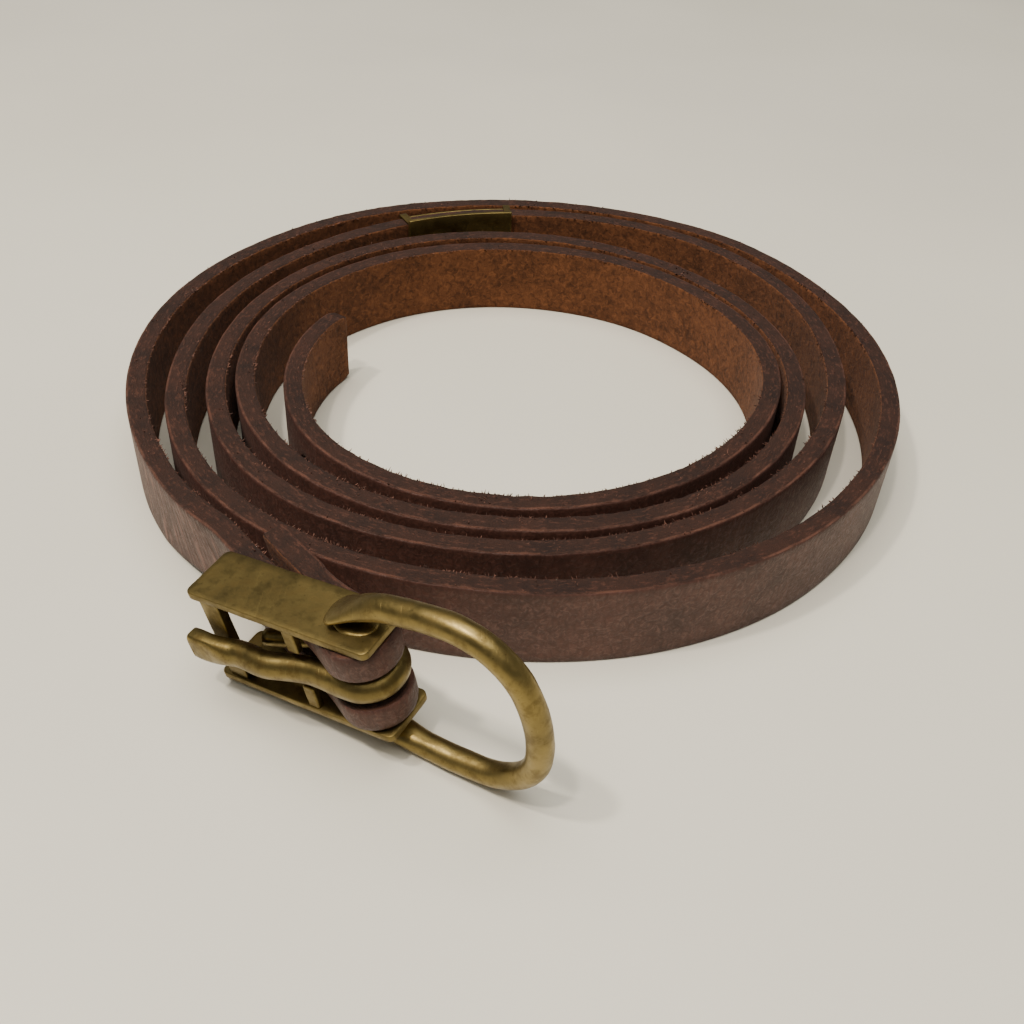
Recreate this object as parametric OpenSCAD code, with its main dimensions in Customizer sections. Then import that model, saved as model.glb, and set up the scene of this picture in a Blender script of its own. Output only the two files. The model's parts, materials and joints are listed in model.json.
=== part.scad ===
// Narrow leather belt with a brass D-bow buckle, coiled on edge.
// Millimetres. +Z is up, the buckle lies at -Y, the strap's lower edge is Z = 0.

/* [Strap] */
// Width of the strap, its height when the belt stands on edge
strap_w = 15; // [12:0.5:20]
// Thickness of the leather
strap_t = 3.6; // [2.6:0.1:4.6]
// Outer radius of the first turn of the coil
coil_r = 74; // [62:1:90]
// Where the tail ends, in turns from the left side
tail_turn = 4.04; // [3.8:0.01:4.05]
// Length of the folded end behind the pin
fold_len = 28; // [16:1:30]
// Length of the slot for the tongue
slot_len = 20; // [19:0.5:22]

/* [Tail holes] */
// Diameter of the holes for the tongue
hole_d = 4.4; // [4:0.1:5]
// Distance from the tip to the first hole
hole_first = 46; // [30:1:60]
// Distance between holes
hole_step = 17; // [10:1:20]

/* [Buckle frame] */
// Length of the side plates
plate_len = 32; // [26:1:40]
// Width of the side plates
plate_w = 9.4; // [8:0.2:12]
// Thickness of the side plates
plate_t = 1.2; // [1:0.1:2]
// Corner radius of the side plates
plate_corner = 1.2; // [0.5:0.1:2]
// Width of the end bar along the plates
bar_w = 3.4; // [2.4:0.2:4]
// Thickness of the end bar
bar_t = 1.6; // [1:0.1:2]
// Inset of the end bar from the plates' end
bar_inset = 1.8; // [1:0.1:3]
// Pin diameter
pin_d = 4; // [3:0.1:5]
// Distance from the pin to the near end of the plates
pin_end = 5; // [4:0.1:7]
// Width of the two stubs of the cut middle bar
stub_w = 2; // [1.5:0.1:3]
// Height of each stub
stub_h = 4.2; // [2:0.1:4.6]

/* [Bow] */
// Diameter of the bow's rod
rod_d = 3.8; // [3:0.1:4.6]
// Reach of the bow's centre line past the pin
bow_reach = 26.8; // [22:0.2:32]
// Rise of the bow's centre line over its soldered ends
bow_rise = 3.7; // [2:0.1:5]
// Radius of the bow's two corners
bow_corner = 11; // [8:0.5:12]
// Radius of the bow's long side
bow_side = 25; // [18:1:40]

/* [Tongue] */
// Diameter of the tongue's rod
tongue_d = 3.8; // [3:0.1:4.4]
// How far the tip passes the end bar
tip_over = 2; // [1:0.1:5]

/* [Keeper] */
// Length of the keeper along the strap
keeper_len = 27; // [12:1:30]
// Thickness of the keeper's sheet
keeper_t = 1; // [0.8:0.1:1.2]
// Width of the four straps across the edges
keeper_tab = 1.8; // [1.4:0.1:3]

/* [Place] */
// Tilt of the buckle, its bow end up
tilt = 9.2; // [0:0.1:12]
// Lean of the buckle towards the front
lean = 5.8; // [0:0.1:8]

/* [Hidden] */
edge_gap = 0.3;
slide_gap = 0.45;
fit_gap = 0.05;
joint_trim = 0.08;
joint_swell = 0.03;
rod_r = rod_d / 2;
tongue_r = tongue_d / 2;
pin_r = pin_d / 2;
inner_h = strap_w + 2 * edge_gap;
frame_h = inner_h + 2 * plate_t;
mid_h = frame_h / 2;
strap_h = plate_t + edge_gap;
pin_u = plate_len - pin_end;
pin_v = plate_w / 2;
wrap_r = pin_r + fit_gap + strap_t;

// The lay of the coil: the outer face's radius every eighth of a turn.
// The first turn is given from coil_r, each later one by its gap to the turn outside it.
keeper_room = keeper_t + slide_gap + 0.5;
first = [15, 6, 1.8, -0.5, -4, -5, -1, 0, -1.5];
gaps = [6, 1.6, 5, keeper_room + 3, keeper_room, keeper_room, 6, 7,
        5, 4, 3.5, 4.5, 9, 11.5, 5, 1.4,
        2, 2.5, 1.2, 2.2, 2, 1.3, 0.8, 2.6,
        2, 3.5, 7, 11, 20];
start_turn = -0.154;
steps_per_turn = 48;

function ctrl(k) = k < 6 ? coil_r + first[k + 3] : ctrl(k - 8) - strap_t - gaps[k - 6];
function between(a, b, c, d, u) = b + u * (c - a) / 2 + u * u * (a - 2.5 * b + 2 * c - d / 2)
    + u * u * u * (-a / 2 + 1.5 * b - 1.5 * c + d / 2);
function face_r(t) = let (x = t * 8, i = floor(x))
    between(ctrl(i - 1), ctrl(i), ctrl(i + 1), ctrl(i + 2), x - i);
function face_p(t) = face_r(t) * [cos(180 - 360 * t), sin(180 - 360 * t)];
function unit(v) = v / norm(v);
function run(t) = unit(face_p(t + 0.004) - face_p(t - 0.004));
function inward(t) = [run(t)[1], -run(t)[0]];
function deep_p(t, d) = face_p(t) + d * inward(t);
function heading(v) = atan2(v[1], v[0]);
// Turn reached after going back a length from the tip along the strap.
function back_from_tip(len, t = tail_turn) = len <= 0 ? t
    : back_from_tip(len - norm(deep_p(t, strap_t / 2) - deep_p(t - 1 / 96, strap_t / 2)), t - 1 / 96);

// The buckle hangs on the strap's outer end, so its place follows from the coil.
lead_angle = 22;
lead_turn = 9.4;
pinch = 0.45;
lead_q = -(wrap_r - pinch);
fold_q = lead_q + strap_t + 1.7;
lead_reach = 34.7;
buckle_az = heading(-run(start_turn)) + lead_turn;
lead_u = pin_u - lead_reach * cos(lead_angle) + lead_q * sin(lead_angle);
lead_v = pin_v + lead_reach * sin(lead_angle) + lead_q * cos(lead_angle);
along_x = [cos(buckle_az) * cos(tilt),
           -sin(buckle_az) * cos(lean) - cos(buckle_az) * sin(tilt) * sin(lean),
           sin(buckle_az) * sin(lean) - cos(buckle_az) * sin(tilt) * cos(lean)];
along_y = [sin(buckle_az) * cos(tilt),
           cos(buckle_az) * cos(lean) - sin(buckle_az) * sin(tilt) * sin(lean),
           -cos(buckle_az) * sin(lean) - sin(buckle_az) * sin(tilt) * cos(lean)];
along_z = [sin(tilt), cos(tilt) * sin(lean), cos(tilt) * cos(lean)];
lead_p = [lead_u, lead_v, mid_h];
buckle_xy = face_p(start_turn) - [along_x * lead_p, along_y * lead_p];

// The bow: a flat arc up from the plate, a corner arc and a side arc, all tangent.
bow_end_u = pin_u - 3.2;
bow_top = frame_h + rod_r + 0.05 + bow_rise;
bow_half = bow_top - mid_h;
side_b = asin((bow_half - bow_corner) / (bow_side - bow_corner));
bow_peak_u = pin_u + bow_reach - bow_side + (bow_side - bow_corner) * cos(side_b);
bow_run = bow_peak_u - bow_end_u;
flat_a = 2 * atan(bow_rise / bow_run);
bow_flat = bow_run / sin(flat_a);
// Lift that puts the bow's lowest point just over the table.
lift = bow_flat * norm([along_z[0], along_z[2]]) + rod_r + 0.05
    - along_z * [bow_peak_u, pin_v, mid_h - bow_half + bow_flat];

// Local turn centre of the strand that carries the keeper.
keeper_turn = 1.205;
keeper_a = face_p(keeper_turn - 0.036);
keeper_b = face_p(keeper_turn);
keeper_c = face_p(keeper_turn + 0.036);
function cross2(a, b) = a[0] * b[1] - a[1] * b[0];
function circle_at(a, b, c) = let (p = b - a, q = c - a, d = 2 * cross2(p, q))
    a + [q[1] * (p * p) - p[1] * (q * q), p[0] * (q * q) - q[0] * (p * p)] / d;
keeper_at = circle_at(keeper_a, keeper_b, keeper_c);
keeper_face = norm(keeper_b - keeper_at);
keeper_half = keeper_len / 2 / keeper_face * 180 / PI;
keeper_dir = heading(keeper_b - keeper_at);

// Everything is moved so that the middle of the box lies on the Z axis.
turn_one = [for (i = [-3 : 48]) face_p(i / 48)];
back_y = max([for (p = turn_one) p[1]]);
left_x = min([for (p = turn_one) p[0]]);
right_x = max([for (p = turn_one) p[0]]);
front_y = buckle_xy[1] + along_y * [pin_u + bow_reach - bow_side, pin_v, mid_h]
    - bow_side * norm([along_y[0], along_y[2]]) - rod_r;
shift = [-(left_x + right_x) / 2, -(front_y + back_y) / 2];

module at_buckle() {
    translate([shift[0] + buckle_xy[0], shift[1] + buckle_xy[1], lift])
        rotate([lean, -tilt, buckle_az])
            children();
}

module at_pin() {
    translate([pin_u, pin_v, 0])
        children();
}

// One straight piece of strap whose outer face runs along X from the origin.
module slab(len) {
    cube([len, strap_t, strap_w]);
}

// ---- strap ----

module coil_body() {
    n = ceil((tail_turn - start_turn - 0.04) * steps_per_turn);
    t0 = start_turn + 0.04;
    dt = (tail_turn - t0) / n;
    outer = [for (i = [0 : n]) face_p(t0 + i * dt)];
    inner = [for (i = [n : -1 : 0]) deep_p(t0 + i * dt, strap_t)];
    translate([shift[0], shift[1], 0])
        linear_extrude(strap_w)
            polygon(concat(outer, inner));
}

// Between the level coil and the tilted buckle the strap twists up in short steps.
module rise_body() {
    steps = 3;
    rise = lift + along_z * lead_p - strap_w / 2;
    for (i = [1 : steps - 1]) {
        g = 1 - i / steps;
        t = start_turn + 0.045 * i / steps;
        turn = (heading(-run(t)) - buckle_az) * (1 - g) - lead_angle * g;
        p = deep_p(t, 0);
        translate([shift[0] + p[0], shift[1] + p[1], strap_w / 2 + rise * g])
            rotate([lean * g, -tilt * g, buckle_az])
                rotate([0, 0, turn])
                    translate([-5.5, 0, -strap_w / 2])
                        slab(11);
    }
}

module fold_body() {
    at_buckle()
        at_pin()
            translate([0, 0, strap_h])
                rotate([0, 0, -lead_angle])
                    difference() {
                        union() {
                            cylinder(r = wrap_r, h = strap_w, $fn = 96);
                            translate([-lead_reach - 4, lead_q, 0])
                                slab(lead_reach + 4);
                            translate([-fold_len, fold_q, 0])
                                slab(fold_len);
                        }
                        translate([0, 0, -1])
                            cylinder(r = pin_r + fit_gap, h = strap_w + 2, $fn = 96);
                        tongue_slot();
                    }
}

// The slot passes the tongue's rod right round the fold.
module tongue_slot() {
    high = tongue_d + 2 * edge_gap;
    translate([-14, -wrap_r - 1, strap_w / 2 - high / 2])
        cube([wrap_r + 16, 2 * wrap_r + 2, high]);
    translate([-slot_len, lead_q - 1, strap_w / 2 - high / 2])
        cube([slot_len, strap_t + 1.6, high]);
}

module tail_holes() {
    for (i = [0 : 4]) {
        t = back_from_tip(hole_first + i * hole_step);
        p = deep_p(t, strap_t / 2);
        translate([shift[0] + p[0], shift[1] + p[1], strap_w / 2])
            rotate([0, 0, heading(inward(t))])
                rotate([0, 90, 0])
                    cylinder(d = hole_d, h = strap_t + 0.6, center = true, $fn = 48);
    }
}

module strap() {
    color([0.36, 0.22, 0.15])
        difference() {
            union() {
                coil_body();
                rise_body();
                fold_body();
            }
            tail_holes();
        }
}

// ---- buckle frame ----

module plate() {
    difference() {
        linear_extrude(plate_t)
            union() {
                translate([plate_corner, 0])
                    square([plate_len - 2 * plate_corner, plate_w]);
                translate([0, plate_corner])
                    square([plate_len, plate_w - 2 * plate_corner]);
                for (x = [plate_corner, plate_len - plate_corner])
                    for (y = [plate_corner, plate_w - plate_corner])
                        translate([x, y])
                            circle(r = plate_corner, $fn = 48);
            }
        at_pin()
            translate([0, 0, -1])
                cylinder(r = pin_r, h = plate_t + 2, $fn = 96);
    }
}

module top_plate() {
    color([0.72, 0.6, 0.3])
        at_buckle()
            translate([0, 0, frame_h - plate_t])
                plate();
}

module bottom_plate() {
    color([0.66, 0.55, 0.28])
        at_buckle()
            plate();
}

module end_bar() {
    color([0.75, 0.62, 0.32])
        at_buckle()
            translate([bar_inset, 0.4, plate_t])
                cube([bar_w, bar_t, inner_h]);
}

module stub() {
    translate([pin_u - wrap_r - 3.2 - stub_w / 2, 0.2, 0])
        cube([stub_w, 1.2, stub_h]);
}

module upper_stub() {
    color([0.7, 0.58, 0.3])
        at_buckle()
            translate([0, 0, frame_h - plate_t - stub_h])
                stub();
}

module lower_stub() {
    color([0.7, 0.58, 0.3])
        at_buckle()
            translate([0, 0, plate_t])
                stub();
}

module pin() {
    color([0.6, 0.5, 0.26])
        at_buckle()
            at_pin()
                cylinder(r = pin_r, h = frame_h, $fn = 96);
}

// ---- bow ----

// An arc of rod about the origin in the U-H plane, a hair short at both ends.
module rod_arc(radius, a, span) {
    trim = joint_trim / radius * 180 / PI;
    rotate([90, 0, 0])
        rotate([0, 0, a + trim])
            rotate_extrude(angle = span - 2 * trim, $fn = 120)
                translate([radius, 0])
                    circle(r = rod_r, $fn = 48);
}

// A short sleeve along X that joins two lengths of rod ending at its middle.
module sleeve(r, len) {
    rotate([0, 90, 0])
        cylinder(r = r + joint_swell, h = len, center = true, $fn = 48);
}

module half_bow() {
    flat_z = bow_half - bow_flat;
    corner_z = bow_half - bow_corner;
    translate([bow_peak_u, 0, flat_z])
        rod_arc(bow_flat, 90, flat_a);
    translate([bow_peak_u, 0, bow_half])
        sleeve(rod_r, 0.8);
    translate([bow_peak_u, 0, corner_z])
        rod_arc(bow_corner, side_b, 90 - side_b);
    translate([bow_peak_u + bow_corner * cos(side_b), 0, corner_z + bow_corner * sin(side_b)])
        rotate([0, 90 - side_b, 0])
            sleeve(rod_r, 0.8);
}

// The bow stands on two feet of solder, one on each plate's outer face.
module bow() {
    foot = 2.6;
    color([0.74, 0.62, 0.32])
        at_buckle()
            translate([0, pin_v, mid_h])
                union() {
                    half_bow();
                    rotate([180, 0, 0])
                        half_bow();
                    translate([pin_u + bow_reach - bow_side, 0, 0])
                        rod_arc(bow_side, -side_b, 2 * side_b);
                    for (z = [mid_h, -mid_h - rod_r * 0.8])
                        translate([bow_end_u + 0.6, -foot / 2, z])
                            cube([4, foot, rod_r * 0.8]);
                }
}

// ---- tongue ----

// The plan of one length of the tongue between two points, rounded at its start.
module run_between(a, b) {
    translate(a) {
        circle(r = tongue_r + 0.06, $fn = 48);
        rotate(heading(b - a))
            translate([0, -tongue_r])
                square([norm(b - a), tongue_d]);
    }
}

// The tongue turns once round the pin; its cut end lies back behind it.
module tongue() {
    ring = pin_r + fit_gap + tongue_r;
    bar_u = bar_inset - pin_u;
    tip_t = tongue_d * 0.7;
    tip_v = 0.3 - pin_v - tip_t / 2;
    close_v = -pin_v - 0.5;
    path = [[-4.4, -ring - 0.1], [-10, close_v + 0.8], [-14.5, close_v],
            [bar_u + bar_w + 3, close_v + 0.3], [bar_u + bar_w + 1, tip_v + 0.1]];
    back = [[-4, ring - 0.2], [-9, 2.3], [-18, close_v + 0.25 + tongue_d]];
    color([0.76, 0.6, 0.34])
        at_buckle()
            at_pin()
                translate([0, 0, mid_h])
                    union() {
                        linear_extrude(tongue_d, center = true)
                            difference() {
                                union() {
                                    circle(r = ring + tongue_r + 0.12, $fn = 96);
                                    run_between([0, -ring], path[0]);
                                    for (i = [0 : len(path) - 2])
                                        run_between(path[i], path[i + 1]);
                                    run_between([0, ring], back[0]);
                                    for (i = [0 : len(back) - 2])
                                        run_between(back[i], back[i + 1]);
                                }
                                circle(r = pin_r + fit_gap, $fn = 96);
                            }
                        translate([bar_u - tip_over, tip_v - tip_t / 2, 0.25 - tongue_r])
                            cube([tip_over + bar_w + 1.4, tip_t, tongue_d - 0.5]);
                    }
}

// ---- keeper ----

// A ring sector about the keeper's own centre.
module sector(r0, r1, a0, a1, z0, z1) {
    translate([0, 0, z0])
        rotate([0, 0, a0])
            rotate_extrude(angle = a1 - a0, $fn = 180)
                translate([r0, 0])
                    square([r1 - r0, z1 - z0]);
}

module keeper() {
    r_in = keeper_face - strap_t - slide_gap;
    r_out = keeper_face + slide_gap;
    tab_a = keeper_tab / keeper_face * 180 / PI;
    z_low = edge_gap;
    z_top = strap_w + edge_gap + keeper_t;
    color([0.74, 0.62, 0.3])
        translate([shift[0] + keeper_at[0], shift[1] + keeper_at[1], 0])
            rotate([0, 0, keeper_dir])
                difference() {
                    sector(r_in - keeper_t, r_out + keeper_t, -keeper_half, keeper_half, z_low, z_top);
                    sector(r_in, r_out, -keeper_half - 2, keeper_half + 2, z_low - 1, z_top - keeper_t);
                    sector(r_in + 0.1, r_out - 0.1, tab_a - keeper_half, keeper_half - tab_a,
                           z_top - 2 * keeper_t, z_top + 1);
                }
}

strap();
top_plate();
bottom_plate();
end_bar();
upper_stub();
lower_stub();
pin();
bow();
tongue();
keeper();
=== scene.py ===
"""A narrow leather belt, coiled on its edge, with a brass buckle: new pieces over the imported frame."""

import json
import math
import random

import bmesh
import bpy
from mathutils import Euler, Matrix, Vector, noise


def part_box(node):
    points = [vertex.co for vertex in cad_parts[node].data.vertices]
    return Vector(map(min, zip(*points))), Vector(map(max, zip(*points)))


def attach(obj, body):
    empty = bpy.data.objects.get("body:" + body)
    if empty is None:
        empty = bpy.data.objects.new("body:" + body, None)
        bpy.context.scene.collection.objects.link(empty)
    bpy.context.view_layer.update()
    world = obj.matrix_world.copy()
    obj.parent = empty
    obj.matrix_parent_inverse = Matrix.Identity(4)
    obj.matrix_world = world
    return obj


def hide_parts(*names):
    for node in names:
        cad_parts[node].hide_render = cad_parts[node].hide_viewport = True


bl_info = {
    "name": "Coiled leather belt",
    "version": (1, 0, 0),
    "blender": (4, 5, 0),
    "location": "3D View > Sidebar > Belt",
    "description": "Builds a coiled leather belt and its brass buckle",
    "category": "Add Mesh",
}

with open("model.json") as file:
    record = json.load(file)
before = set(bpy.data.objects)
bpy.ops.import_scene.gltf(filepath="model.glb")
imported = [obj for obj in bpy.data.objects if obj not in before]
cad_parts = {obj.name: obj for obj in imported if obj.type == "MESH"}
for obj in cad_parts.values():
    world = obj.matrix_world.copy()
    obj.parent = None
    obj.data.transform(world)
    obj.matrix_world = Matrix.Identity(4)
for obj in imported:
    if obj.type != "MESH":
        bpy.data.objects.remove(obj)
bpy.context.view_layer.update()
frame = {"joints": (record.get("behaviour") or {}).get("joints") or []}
MM = 0.001


# ---- the strap's lay, in millimetres, as the part's source has it ----

STRAP_W = 15.0
STRAP_T = 3.6
COIL_R = 74.0
TAIL_TURN = 4.04
START_TURN = -0.154
FIRST = (15, 6, 1.8, -0.5, -4, -5, -1, 0, -1.5)
GAPS = (6, 1.6, 5, 4.95, 1.95, 1.95, 6, 7, 5, 4, 3.5, 4.5, 9, 11.5, 5, 1.4,
        2, 2.5, 1.2, 2.2, 2, 1.3, 0.8, 2.6, 2, 3.5, 7, 11, 20)
PLATE_L, PLATE_W, PLATE_T = 32.0, 9.4, 1.2
BAR_W, BAR_T, BAR_INSET = 3.4, 1.6, 1.8
STUB_W, STUB_H = 2.0, 4.2
FRAME_H = STRAP_W + 0.6 + 2 * PLATE_T
MID_H = FRAME_H / 2
PIN_U, PIN_V, PIN_R = 27.0, 4.7, 2.0
WRAP_R = PIN_R + 0.05 + STRAP_T
ROD_R = 1.9
BOW_REACH, BOW_RISE, BOW_CORNER, BOW_SIDE = 26.8, 3.7, 11.0, 25.0
LEAD_A, LEAD_REACH, LEAD_Q, FOLD_Q, FOLD_LEN = 22.0, 34.7, -5.2, 0.1, 28.0
SLOT_BACK, SLOT_LEN, SLOT_H = 14.0, 20.0, 4.4
HOLE_R, HOLE_FIRST, HOLE_STEP = 2.2, 46.0, 17.0
KEEPER_TURN, KEEPER_LEN, KEEPER_T, KEEPER_GAP = 1.205, 27.0, 1.0, 0.45


def ctrl(k):
    return COIL_R + FIRST[k + 3] if k < 6 else ctrl(k - 8) - STRAP_T - GAPS[k - 6]


def face_r(t):
    x = t * 8
    i = math.floor(x)
    u = x - i
    a, b, c, d = (ctrl(i + j) for j in (-1, 0, 1, 2))
    return (b + u * (c - a) / 2 + u * u * (a - 2.5 * b + 2 * c - d / 2)
            + u ** 3 * (-a / 2 + 1.5 * b - 1.5 * c + d / 2))


def face_p(t):
    a = math.radians(180 - 360 * t)
    return Vector((math.cos(a), math.sin(a))) * face_r(t)


PIN_JOINT = next(j for j in frame["joints"] if j["name"] == "buckle_swing")
PIN_AT = Vector(PIN_JOINT["pos_m"]) / MM
PIN_AXIS = Vector(PIN_JOINT["axis"]).normalized()
TILT, LEAN = math.radians(9.2), math.radians(5.8)
# The buckle's heading follows from the pin's axis, its tilt and its lean.
BUCKLE_AZ = math.atan2(PIN_AXIS.y, PIN_AXIS.x) - math.atan2(
    -math.sin(LEAN), -math.sin(TILT) * math.cos(LEAN))
BUCKLE_R = Euler((LEAN, -TILT, BUCKLE_AZ)).to_matrix()
BUCKLE = Matrix.Translation(PIN_AT - BUCKLE_R @ Vector((PIN_U, PIN_V, MID_H))) @ BUCKLE_R.to_4x4()


def coil_shift():
    turn_one = [face_p(i / 48) for i in range(-3, 49)]
    xs, ys = [p.x for p in turn_one], [p.y for p in turn_one]
    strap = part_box("strap")
    return Vector((-(min(xs) + max(xs)) / 2, strap[1][1] / MM - max(ys)))


SHIFT = coil_shift()


# ---- materials ----


def linear(hex_colour):
    """An sRGB hex colour as linear RGBA."""
    parts = [int(hex_colour[i:i + 2], 16) / 255 for i in (1, 3, 5)]
    return tuple(c / 12.92 if c <= 0.04045 else ((c + 0.055) / 1.055) ** 2.4 for c in parts) + (1.0,)


def tone(colour, level, grey=0.0):
    """A colour made darker or lighter, and greyer."""
    middle = sum(colour[:3]) / 3
    return tuple(min((c + (middle - c) * grey) * level, 1.0) for c in colour[:3]) + (1.0,)


def add(tree, kind, inputs=None, stops=(), **settings):
    """Adds a node with its settings; inputs hold values or linked sockets, and stops a ramp's colours."""
    n = tree.nodes.new("ShaderNode" + kind)
    for key, value in settings.items():
        setattr(n, key, value)
    for key, value in (inputs or {}).items():
        if isinstance(value, bpy.types.NodeSocket):
            tree.links.new(value, n.inputs[key])
        else:
            n.inputs[key].default_value = value
    for i, (place, colour) in enumerate(stops):
        e = n.color_ramp.elements[i] if i < 2 else n.color_ramp.elements.new(place)
        e.position, e.color = place, colour
    return n.outputs


def new_material(name, inputs):
    """A material with one shader; the inputs name its constant values."""
    mat = bpy.data.materials.new(name)
    mat.use_nodes = True
    tree = mat.node_tree
    tree.nodes.clear()
    shader = add(tree, "BsdfPrincipled", inputs)
    add(tree, "OutputMaterial", {"Surface": shader[0]})
    return mat, tree, shader[0].node


def grain_leather():
    """Vegetable-tanned cowhide, grain side, waxed: reddish brown, fine grain, ribbed where it bends."""
    base = bpy.context.scene.belt_leather.grain
    mat, tree, shader = new_material("Cowhide_Grain_Waxed", {
        "Specular IOR Level": 0.38, "Sheen Weight": 0.02})
    place = add(tree, "Attribute", attribute_name="strap_place")["Vector"]
    axes = add(tree, "SeparateXYZ", {"Vector": place})
    # Dye clouds near 10 mm, a mottle near 1.5 mm and pores near 0.4 mm: the hide takes the dye unevenly.
    cloud = add(tree, "TexNoise", {"Vector": place, "Scale": 95, "Detail": 5, "Roughness": 0.6})[0]
    mottle = add(tree, "TexNoise", {"Vector": place, "Scale": 760, "Detail": 5, "Roughness": 0.62,
                                    "Distortion": 1.6})[0]
    pores = add(tree, "TexNoise", {"Vector": place, "Scale": 2600, "Detail": 3, "Roughness": 0.6})[0]
    # Grain cells about 1 mm along and 2 mm up the strap, with creases between them, which are also painted
    # dark as painted shade.
    cells = add(tree, "Mapping", {"Vector": place, "Scale": (1, 0.5, 1)})[0]
    uneven = add(tree, "TexNoise", {"Vector": place, "Scale": 520, "Detail": 3})["Color"]
    pushed = add(tree, "VectorMath", {0: uneven, 1: (0.0009, 0.0009, 0.0009), 2: cells},
                 operation="MULTIPLY_ADD")[0]
    pebble = add(tree, "TexVoronoi", {"Vector": pushed, "Scale": 900}, feature="DISTANCE_TO_EDGE")[0]
    dome = add(tree, "MapRange", {0: pebble, 1: 0.0, 2: 0.30}, interpolation_type="SMOOTHSTEP")[0]
    # Ribs across the strap near 1.5 mm, strong only on the length that bends into the buckle; their crests
    # are also painted paler, a painted highlight.
    tall = add(tree, "Mapping", {"Vector": place, "Scale": (1, 0.13, 1)})[0]
    lines = add(tree, "TexNoise", {"Vector": tall, "Scale": 900, "Detail": 4, "Roughness": 0.55})[0]
    bent = add(tree, "MapRange", {0: axes[0], 1: 0.17, 2: 0.25, 3: 1.0, 4: 0.10},
               interpolation_type="SMOOTHSTEP")[0]
    fold = add(tree, "MapRange", {0: axes[0], 1: 0.05, 2: 0.075, 3: 0.12, 4: 1.0},
               interpolation_type="SMOOTHSTEP")[0]
    creased = add(tree, "Math", {0: bent, 1: fold}, operation="MULTIPLY")[0]
    high = add(tree, "MapRange", {0: lines, 1: 0.50, 2: 0.66}, interpolation_type="SMOOTHSTEP")[0]
    painted_rib_highlight = add(tree, "Math", {0: high, 1: creased}, operation="MULTIPLY")[0]
    ground = add(tree, "ValToRGB", {0: cloud}, ((0.30, tone(base, 0.62)), (0.72, tone(base, 1.35)),
                                                (0.50, tone(base, 0.95))))[0]
    worn = add(tree, "MapRange", {0: mottle, 1: 0.48, 2: 0.66, 3: 0.0, 4: 0.60},
               interpolation_type="SMOOTHSTEP")[0]
    colour = add(tree, "Mix", {0: worn, 6: ground, 7: tone(base, 2.0, 0.15)}, data_type="RGBA")[2]
    # Painted shade: the creases between the grain cells are painted darker.
    painted_crease_shade = add(tree, "MapRange", {0: pebble, 1: 0.0, 2: 0.22, 3: 0.30, 4: 0.0},
               interpolation_type="SMOOTHSTEP")[0]
    colour = add(tree, "Mix", {0: painted_crease_shade, 6: colour, 7: tone(base, 0.35)}, data_type="RGBA")[2]
    # Painted highlight: the crests of the ribs are painted a paler pink-grey.
    colour = add(tree, "Mix", {0: painted_rib_highlight, 6: colour, 7: tone(base, 2.8, 0.25)}, data_type="RGBA")[2]
    # The grain face is darker towards its two long sides.
    off = add(tree, "Math", {0: axes[1], 1: STRAP_W / 2 * MM}, operation="SUBTRACT")[0]
    side = add(tree, "MapRange", {0: add(tree, "Math", {0: off}, operation="ABSOLUTE")[0],
                                  1: 0.0052, 2: 0.0073, 3: 0.0, 4: 0.45}, interpolation_type="SMOOTHSTEP")[0]
    colour = add(tree, "Mix", {0: side, 6: colour, 7: tone(base, 0.4)}, data_type="RGBA")[2]
    tree.links.new(colour, shader.inputs["Base Color"])
    shine = add(tree, "MapRange", {0: mottle, 1: 0.3, 2: 0.7, 3: 0.66, 4: 0.46})[0]
    tree.links.new(shine, shader.inputs["Roughness"])
    ribs = add(tree, "Math", {0: lines, 1: creased}, operation="MULTIPLY")[0]
    bump = add(tree, "Bump", {"Height": ribs, "Distance": 0.7 * MM, "Strength": 0.8})[0]
    bump = add(tree, "Bump", {"Height": dome, "Distance": 0.10 * MM, "Strength": 0.3, "Normal": bump})[0]
    bump = add(tree, "Bump", {"Height": mottle, "Distance": 0.25 * MM, "Strength": 0.6, "Normal": bump})[0]
    bump = add(tree, "Bump", {"Height": pores, "Distance": 0.06 * MM, "Strength": 0.5, "Normal": bump})[0]
    tree.links.new(bump, shader.inputs["Normal"])
    return mat


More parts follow.
